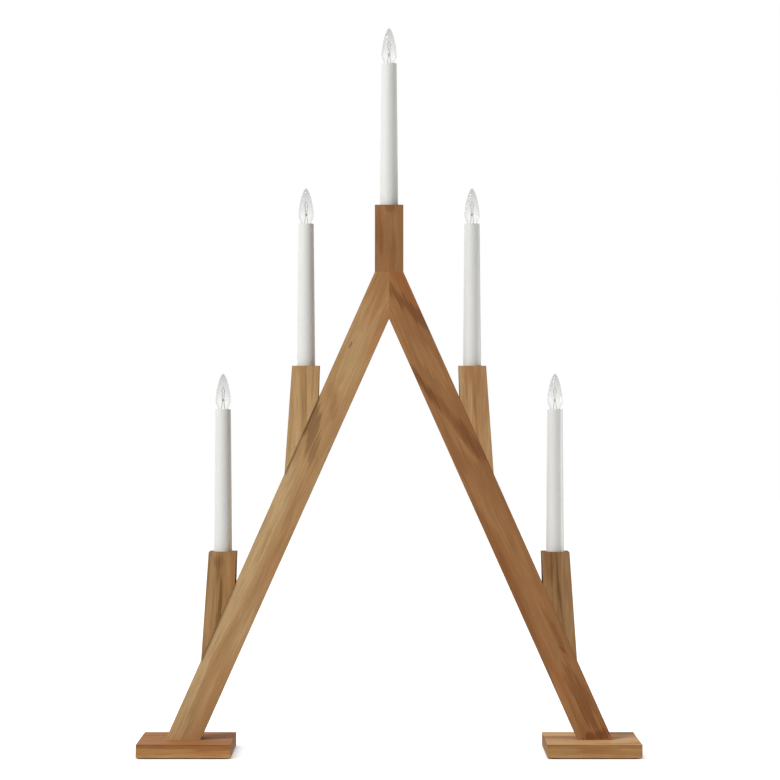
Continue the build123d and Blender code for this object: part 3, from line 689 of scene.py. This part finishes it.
rolledBrass = workedMetal("rolled brass", "#D9B868", "#C39C4A", 0.28, 0.5, (1, 1, 6))
softSolder = workedMetal("soft solder, wiped", "#BFC1C2", "#9A9C9E", 0.38, 0.6, (1, 1, 1))
zincSteel = workedMetal("zinc plated steel", "#C9CCCE", "#AEB2B6", 0.34, 0.4, (1, 1, 5))
nickelWire = workedMetal("drawn nickel wire", "#B4AEA6", "#98928A", 0.36, 0.2, (1, 1, 0.2))
tungstenWire = workedMetal("drawn tungsten wire", "#6C6864", "#4E4A47", 0.42, 0.1, (1, 1, 1))


glassLook = {
    "face": "#FAFAF9",
    # painted shade: the edge grey stands for darker surroundings seen where the wall turns from the eye
    "edge": "#BDC0BF",
    "edgeFrom": 0.2,  # how far the wall turns from the eye, 0 to 1
    "edgeFull": 0.85,
    # painted shade: the tip greys for the darker surroundings that the curved tip shows
    "tipShade": "#D2D4D3",
    "tipShadeFrom": 0.66,  # up the profile, 0 to 1
    "tipShadeFull": 0.95,
    "tipShadeAmount": 0.7,
    "mirror": 0.1,
}


# Glass: clear and colourless, with painted shade: greyer where the eye looks along the wall, and
# faintly greyer at the tip, both standing for the darker surroundings that the slanted and curved wall shows.
def blownGlass():
    made, tree, shader = newMaterial("blown soda-lime glass", {
        "IOR": 1.5, "Transmission Weight": 1.0, "Roughness": 0.0,
        "Specular Tint": (*[glassLook["mirror"]] * 3, 1)})
    # painted shade, greyer where the wall turns from the eye
    rim = addNode(tree, "ShaderNodeLayerWeight", {"Blend": 0.35})
    edge = addNode(tree, "ShaderNodeMapRange", {
        0: rim.outputs["Facing"], 1: glassLook["edgeFrom"], 2: glassLook["edgeFull"]})
    colour = addNode(tree, "ShaderNodeMix", {
        0: edge.outputs[0], 6: toLinear(glassLook["face"]), 7: toLinear(glassLook["edge"])},
        data_type="RGBA").outputs[2]
    # painted shade, greyer up towards the tip
    profile = addNode(tree, "ShaderNodeUVMap", uv_map="UVMap")
    along = addNode(tree, "ShaderNodeSeparateXYZ", {0: profile.outputs[0]})
    tipShade = addNode(tree, "ShaderNodeMapRange", {
        0: along.outputs["Y"], 1: glassLook["tipShadeFrom"], 2: glassLook["tipShadeFull"],
        3: 0.0, 4: glassLook["tipShadeAmount"]})
    colour = addNode(tree, "ShaderNodeMix", {
        0: tipShade.outputs[0], 6: colour, 7: toLinear(glassLook["tipShade"])}, data_type="RGBA").outputs[2]
    tree.links.new(colour, shader.inputs["Base Color"])
    return made


# Fused glass, cloudy and smooth: the bead on the wires with its grey metallic film, the press of
# the stem, and the black button of the cap
def fusedGlass(name, light, dark, gloss, film=0.0):
    made, tree, shader = newMaterial(name, {"IOR": 1.5, "Metallic": film})
    cloud = addNode(tree, "ShaderNodeTexNoise", {
        "Vector": objectPlace(tree), "Scale": 1 / (1.2 * mm), "Detail": 3.0})
    colour = addNode(tree, "ShaderNodeMix", {0: cloud.outputs[0], 6: toLinear(light), 7: toLinear(dark)},
                     data_type="RGBA")
    tree.links.new(colour.outputs[2], shader.inputs["Base Color"])
    rough = addNode(tree, "ShaderNodeMapRange", {0: cloud.outputs[0], 3: gloss - 0.05, 4: gloss + 0.08})
    tree.links.new(rough.outputs[0], shader.inputs["Roughness"])
    return made


flameGlass = blownGlass()
beadGlass = fusedGlass("fused bead glass, grey getter film", "#D4CFCA", "#B9B3AD", 0.35, 0.8)
sealGlass = fusedGlass("pressed stem glass", "#C9CBC8", "#A9ABA8", 0.25)
capGlass = fusedGlass("black cap glass", "#191817", "#2B2927", 0.22)


# Beech, turned: pale and even, with short darker flecks along the rod and fine fibres
def turnedBeech():
    made, tree, shader = newMaterial("turned beech", {})
    place = objectPlace(tree)
    lengthways = addNode(tree, "ShaderNodeMapping", {"Vector": place, "Scale": (0.25, 1, 1)})
    flecks = addNode(tree, "ShaderNodeTexNoise", {
        "Vector": lengthways.outputs[0], "Scale": 1 / (0.7 * mm), "Detail": 3.0})
    amount = addNode(tree, "ShaderNodeMapRange", {0: flecks.outputs[0], 1: 0.45, 2: 0.7})
    colour = addNode(tree, "ShaderNodeMix", {
        0: amount.outputs[0], 6: toLinear("#D6B48C"), 7: toLinear("#B58C62")}, data_type="RGBA")
    tree.links.new(colour.outputs[2], shader.inputs["Base Color"])
    rough = addNode(tree, "ShaderNodeMapRange", {0: flecks.outputs[0], 3: 0.5, 4: 0.7})
    tree.links.new(rough.outputs[0], shader.inputs["Roughness"])
    bump = addNode(tree, "ShaderNodeBump", {
        "Height": flecks.outputs[0], "Strength": 0.3, "Distance": 0.08 * mm})
    tree.links.new(bump.outputs[0], shader.inputs["Normal"])
    return made


# Felt, needled wool and viscose: matt and deep brown, with a tangle of paler hairs on top
def needledFelt():
    made, tree, shader = newMaterial("needled felt, brown", {
        "Roughness": 0.95, "Specular IOR Level": 0.15, "Sheen Weight": 0.35, "Sheen Roughness": 0.5})
    place = objectPlace(tree)
    tufts = addNode(tree, "ShaderNodeTexNoise", {"Vector": place, "Scale": 1 / (2.5 * mm), "Detail": 5.0,
                                                 "Distortion": 1.2})
    hairs = addNode(tree, "ShaderNodeTexVoronoi", {"Vector": place, "Scale": 1 / (1.1 * mm)},
                    feature="DISTANCE_TO_EDGE")
    hair = addNode(tree, "ShaderNodeMapRange", {0: hairs.outputs[0], 1: 0.02, 2: 0.12, 3: 0.6, 4: 0.0})
    colour = addNode(tree, "ShaderNodeMix", {
        0: tufts.outputs[0], 6: toLinear("#4A3524"), 7: toLinear("#75573C")}, data_type="RGBA").outputs[2]
    colour = addNode(tree, "ShaderNodeMix", {0: hair.outputs[0], 6: colour, 7: toLinear("#94775A")},
                     data_type="RGBA").outputs[2]
    tree.links.new(colour, shader.inputs["Base Color"])
    height = addNode(tree, "ShaderNodeMath", {0: tufts.outputs[0], 1: hair.outputs[0]}, operation="ADD")
    bump = addNode(tree, "ShaderNodeBump", {
        "Height": height.outputs[0], "Strength": 0.8, "Distance": 0.25 * mm})
    tree.links.new(bump.outputs[0], shader.inputs["Normal"])
    return made


beech = turnedBeech()
felt = needledFelt()
print("materials ready")

# CAD pieces that keep their shape and get a finish
plainFinishes = {
    "foot_screws": zincSteel,
    "post_dowels": beech,
    "apex_dowels": beech,
    "candle_leads": sheathWhite,
    "cable_clips": holderWhite,
    "lead_splices": holderWhite,
    "cord_gland": holderWhite,
}
for candle in candleNames:
    plainFinishes[candle + "_candle_tube"] = tubeWhite
    plainFinishes[candle + "_lamp_holder"] = holderWhite
    plainFinishes[candle + "_socket_shell"] = rolledBrass
    plainFinishes[candle + "_socket_tongue"] = rolledBrass
    plainFinishes[candle + "_bulb_contact"] = softSolder
for piece, finish in plainFinishes.items():
    nodes[piece].data.materials[0] = finish
print("CAD pieces finished,", len(plainFinishes))

# Bulb, in millimetres from the middle of the tube's rim
bulb = {
    "glass": [
        ((4.3, 0, -5.2), (4.3, 0, -6), (4.3, 0, -3.9)),
        ((4.3, 0, -1.2), (4.3, 0, -2.5), (4.3, 0, 1.875)),
        ((6.75, 0, 7.5), (6.75, 0, 3.75), (6.75, 0, 14.55)),
        ((0, 0, 31), (3.375, 0, 31), (-3.375, 0, 31)),
    ],
    "glassWall": 0.5,
    "glassFineness": 24,
    "glassSteps": 72,
    "solidSteps": 48,
    "cap": [(3.0, -10.65), (3.4, -10.7), (4.2, -10.3), (4.7, -9.9)],
    "capTop": [(4.7, -2.2), (4.62, -1.35), (4.5, -1.2), (4.36, -1.25), (4.34, -2.4)],
    "capSteps": 90,
    "threadPitch": 1.814,
    "threadDepth": 0.42,
    "threadFoot": -10.0,
    "threadHead": -2.6,
    "button": [(0, -11.68), (1.9, -11.66), (2.9, -11.2), (3.35, -10.72), (3.1, -10.45), (0, -10.4)],
    "seal": [(0, -5.18), (3.5, -5.18), (3.7, -4.9), (3.6, -4.5), (2.4, -4.25), (0.8, -3.9), (0, -3.85)],
    "bead": [(0, 7), (0.7, 7.02), (1.2, 7.35), (1.3, 8), (1.2, 8.65), (0.7, 8.98), (0, 9)],
    "wires": [
        [(-2.2, 0, -4.4), (-2.0, 0, -3.2), (-0.62, 0, 6.2), (-0.58, 0, 8), (-0.62, 0, 9.8), (-1.1, 0, 16.4),
         (-1.1, 0, 17.1)],
        [(2.2, 0, -4.4), (2.0, 0, -3.2), (0.62, 0, 6.2), (0.58, 0, 8), (0.62, 0, 9.8), (1.1, 0, 16.4),
         (1.1, 0, 17.1)],
    ],
    "wireRadius": 0.225,
    "wireSteps": 60,
    "wireSides": 12,
    "filament": [[(-1.1, 0, 16.8), (-0.5, 0, 18.6), (0, 0, 20.1), (0.5, 0, 18.6), (1.1, 0, 16.8)]],
    "filamentRadius": 0.045,
    "coilRadius": 0.11,
    "coilTurns": 30.0,
    "filamentSteps": 480,
    "filamentSides": 6,
}


def bulbGlass():
    profile = drawCurve("glass profile", [bulb["glass"]], "BEZIER", bulb["glassFineness"])
    return growMesh(profile, turned, {
        "Steps Around": bulb["glassSteps"], "Thread Pitch": mm, "Finish": flameGlass}, bulb["glassWall"] * mm)


def turnedSolid(name, spots, finish, **thread):
    profile = drawCurve(name, [[(r, 0, z) for r, z in spots]], "POLY")
    return growMesh(profile, turned, {
        "Steps Around": bulb["solidSteps"], "Thread Pitch": mm, "Finish": finish, **thread})


def bulbCap():
    foot, head = bulb["cap"][-1], bulb["capTop"][0]
    steps = bulb["capSteps"]
    wall = [(foot[0], foot[1] + (head[1] - foot[1]) * n / steps) for n in range(1, steps)]
    shell = turnedSolid("cap profile", [*bulb["cap"], *wall, *bulb["capTop"]], rolledBrass, **{
        "Thread Pitch": bulb["threadPitch"] * mm, "Thread Depth": bulb["threadDepth"] * mm,
        "Thread Foot": bulb["threadFoot"] * mm, "Thread Head": bulb["threadHead"] * mm})
    return joinMeshes("cap", [shell, turnedSolid("button profile", bulb["button"], capGlass)])


def bulbMount():
    wires = growMesh(drawCurve("mount wires", bulb["wires"], "NURBS"), drawn, {
        "Steps": bulb["wireSteps"], "Sides": bulb["wireSides"], "Radius": bulb["wireRadius"] * mm,
        "Finish": nickelWire})
    filament = growMesh(drawCurve("filament", bulb["filament"], "NURBS"), drawn, {
        "Steps": bulb["filamentSteps"], "Sides": bulb["filamentSides"], "Radius": bulb["filamentRadius"] * mm,
        "Coil Radius": bulb["coilRadius"] * mm, "Coil Turns": bulb["coilTurns"], "Finish": tungstenWire})
    seal = turnedSolid("seal profile", bulb["seal"], sealGlass)
    bead = turnedSolid("bead profile", bulb["bead"], beadGlass)
    return joinMeshes("mount", [seal, wires, bead, filament])


for candle in candleNames:
    low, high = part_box(candle + "_candle_tube")
    place = Vector(((low.x + high.x) / 2, (low.y + high.y) / 2, high.z))
    body = candle + "_bulb"
    addPiece(candle + "_flame_glass", bulbGlass(), place, body, candle + "_bulb_glass")
    addPiece(candle + "_screw_cap", bulbCap(), place, body, candle + "_bulb_cap")
    addPiece(candle + "_mount", bulbMount(), place, body, candle + "_filament_mount")
print("bulbs built,", len(candleNames))

# Twin cable in the groove behind each leg, one round core beside the other
twinCable = {
    "coreRadius": 1.08,
    "coreDepths": (2.78, 4.92),  # behind the middle of the leg
    "peak": 416.2,  # where the legs' middle lines meet
    "lean": 24.1,
    "headGap": 1.5,
    "wander": 0.25,
    "seed": 3.0,
    "steps": 220,
    "sides": 20,
}


def legCable(side):
    way = -1 if side == "left" else 1
    low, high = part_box(side + "_leg_cable")
    slope = math.tan(math.radians(twinCable["lean"]))
    foot = low.z / mm + twinCable["coreRadius"] * math.sin(math.radians(twinCable["lean"]))
    head = twinCable["peak"] - twinCable["headGap"]
    heights = (foot, (foot + head) / 2, head)
    cores = []
    for depth in twinCable["coreDepths"]:
        cores.append([(way * (twinCable["peak"] - z) * slope, depth, z) for z in heights])
    return growMesh(drawCurve(side + " cable", cores, "POLY"), drawn, {
        "Steps": twinCable["steps"], "Sides": twinCable["sides"], "Radius": twinCable["coreRadius"] * mm,
        "Wander": twinCable["wander"] * mm, "Seed": twinCable["seed"], "Finish": sheathWhite})


for side in ("left", "right"):
    addPiece(side + "_twin_cable", legCable(side), Vector(), "frame", side + "_leg_cable")
print("cables laid")

# Felt pads under the feet: cut with round corners, a little uneven where they were needled
feltPad = {
    "inset": 4,
    "corner": 3.0,
    "uneven": 0.09,
    "tufts": 400,  # to the metre
    "step": 1.5,
}


def padMesh(low, high):
    pads = bmesh.new()
    middle = (low + high) / 2
    for side in (-1, 1):
        inner = abs(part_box("right_foot")[0].x) + feltPad["inset"] * mm
        width, depth = high.x - inner, high.y - low.y
        across = int(width / (feltPad["step"] * mm))
        deep = int(depth / (feltPad["step"] * mm))
        made = bmesh.ops.create_grid(pads, x_segments=across, y_segments=deep, size=0.5)
        corner = feltPad["corner"] * mm
        for v in made["verts"]:
            x, y = v.co.x * width, v.co.y * depth
            dx, dy = abs(x) - (width / 2 - corner), abs(y) - (depth / 2 - corner)
            if dx > 0 and dy > 0:
                reach = max(dx, dy) / math.hypot(dx, dy)
                x = math.copysign(width / 2 - corner + dx * reach, x)
                y = math.copysign(depth / 2 - corner + dy * reach, y)
            v.co = Vector((side * (inner + width / 2) + x, middle.y + y, high.z))
        faces = list({f for v in made["verts"] for f in v.link_faces})
        under = bmesh.ops.extrude_face_region(pads, geom=faces)
        for v in [g for g in under["geom"] if isinstance(g, bmesh.types.BMVert)]:
            tuft = noise.noise(v.co * feltPad["tufts"]) * 0.5 + 0.5
            v.co.z = low.z + tuft * feltPad["uneven"] * mm
    bmesh.ops.recalc_face_normals(pads, faces=pads.faces)
    mesh = bpy.data.meshes.new("felt pads")
    pads.to_mesh(mesh)
    pads.free()
    mesh.materials.append(felt)
    return mesh


addPiece("felt_soles", padMesh(*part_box("felt_pads")), Vector(), "frame", "felt_pads")
print("felt pads cut")

print("scene ready")
